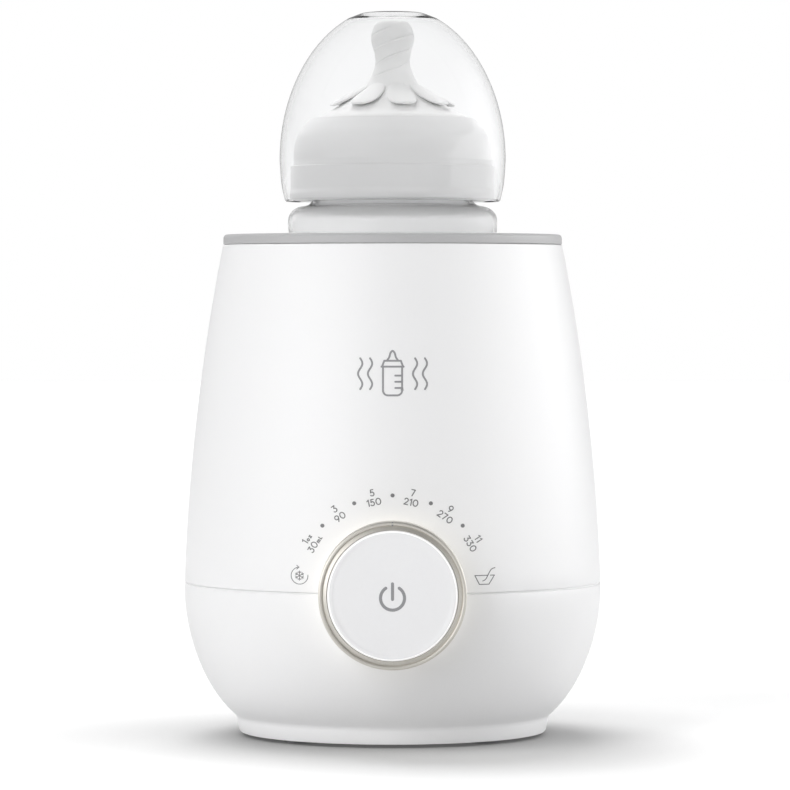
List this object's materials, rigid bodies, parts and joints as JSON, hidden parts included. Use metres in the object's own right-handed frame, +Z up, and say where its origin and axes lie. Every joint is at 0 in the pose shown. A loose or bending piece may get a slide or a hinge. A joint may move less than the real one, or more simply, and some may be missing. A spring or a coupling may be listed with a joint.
{
  "type": "baby bottle warmer",
  "caption": "Round countertop bottle warmer with a turning dial around a push button, a water well, and a feeding bottle with a clear dome cap standing in it.",
  "frame": {"origin": "bottom centre of the whole object: on the plane that the feet stand on, midway between the dial's face and the back of the body", "axes": "+Z up along the bottle, +Y towards the cord inlet at the back, the dial faces -Y"},
  "size_m": [0.1408, 0.153, 0.2439],
  "materials": {
    "white_shell": "satin",
    "grey_trim": "satin",
    "champagne_ring": "satin anodised",
    "white_button": "gloss",
    "light_diffuser": "milky",
    "clear_bottle": "clear",
    "clear_cap": "clear",
    "white_collar": "gloss",
    "silicone": "translucent silicone",
    "white_lining": "gloss",
    "inner_plastic": "moulded",
    "steel": "brushed",
    "aluminium_part": "cast",
    "gasket_rubber": "matt",
    "foot_rubber": "matt",
    "gland_rubber": "matt",
    "circuit_board": "lacquered",
    "black_plastic": "matt",
    "blue_sleeve": "gloss",
    "green_block": "matt",
    "red_wire": "gloss",
    "white_wire": "gloss",
    "led_lens": "clear"
  },
  "bodies": {
    "warmer": {"upper_housing": "white_shell", "lower_housing": "white_shell", "trim_ring": "grey_trim", "water_chamber": "white_lining", "heater_plate": "steel", "chamber_gasket": "gasket_rubber", "heating_element": "aluminium_part", "heater_bracket": "steel", "bracket_screws": "steel", "thermostat": "black_plastic", "temperature_sensor": "steel", "thermal_fuse": "steel", "inner_frame": "inner_plastic", "frame_screws": "steel", "base_plate": "inner_plastic", "base_screws": "steel", "rubber_feet": "foot_rubber", "cord_gland": "gland_rubber", "power_board": "circuit_board", "board_screws": "steel", "relay": "black_plastic", "capacitors": "blue_sleeve", "terminal_block": "green_block", "heater_leads": "red_wire", "dial_carrier": "inner_plastic", "carrier_screws": "steel", "light_ring": "light_diffuser", "control_board": "circuit_board", "control_screws": "steel", "leds": "led_lens", "encoder_body": "black_plastic", "button_guide": "inner_plastic", "tact_switch": "black_plastic", "control_leads": "white_wire", "button_spring": "steel"},
    "dial": {"dial_bezel": "champagne_ring", "dial_hub": "inner_plastic", "encoder_rotor": "inner_plastic"},
    "button": {"power_button": "white_button", "switch_plunger": "inner_plastic"},
    "bottle": {"bottle_shell": "clear_bottle"},
    "teat": {"teat": "silicone"},
    "collar": {"screw_collar": "white_collar"},
    "cap": {"dome_cap": "clear_cap"}
  },
  "joints": [
    {"name": "dial_turn", "type": "hinge", "parent": "warmer", "child": "dial", "pos_m": [0, -0.07648, 0.052], "axis": [0, -1, 0], "range_deg": [-78, 78]},
    {"name": "button_press", "type": "slide", "parent": "warmer", "child": "button", "axis": [0, 1, 0], "range_m": [0, 0.001], "stiffness_N_per_m": 600, "springref_m": -0.001, "deforming": ["button_spring"]},
    {"name": "bottle_lift", "type": "slide", "parent": "warmer", "child": "bottle", "axis": [0, 0, 1], "range_m": [0, 0.11]},
    {"name": "teat_lift", "type": "slide", "parent": "bottle", "child": "teat", "axis": [0, 0, 1], "range_m": [0, 0.0076]},
    {"name": "collar_turn", "type": "hinge", "parent": "teat", "child": "collar", "pos_m": [0, 0.00613, 0.19], "axis": [0, 0, 1], "range_deg": [0, 540]},
    {"name": "cap_lift", "type": "slide", "parent": "collar", "child": "cap", "axis": [0, 0, 1], "range_m": [0, 0.07]}
  ],
  "couplings": [
    {"joint": "teat_lift", "follows": "collar_turn", "m_per_rad": 0.00079577}
  ]
}
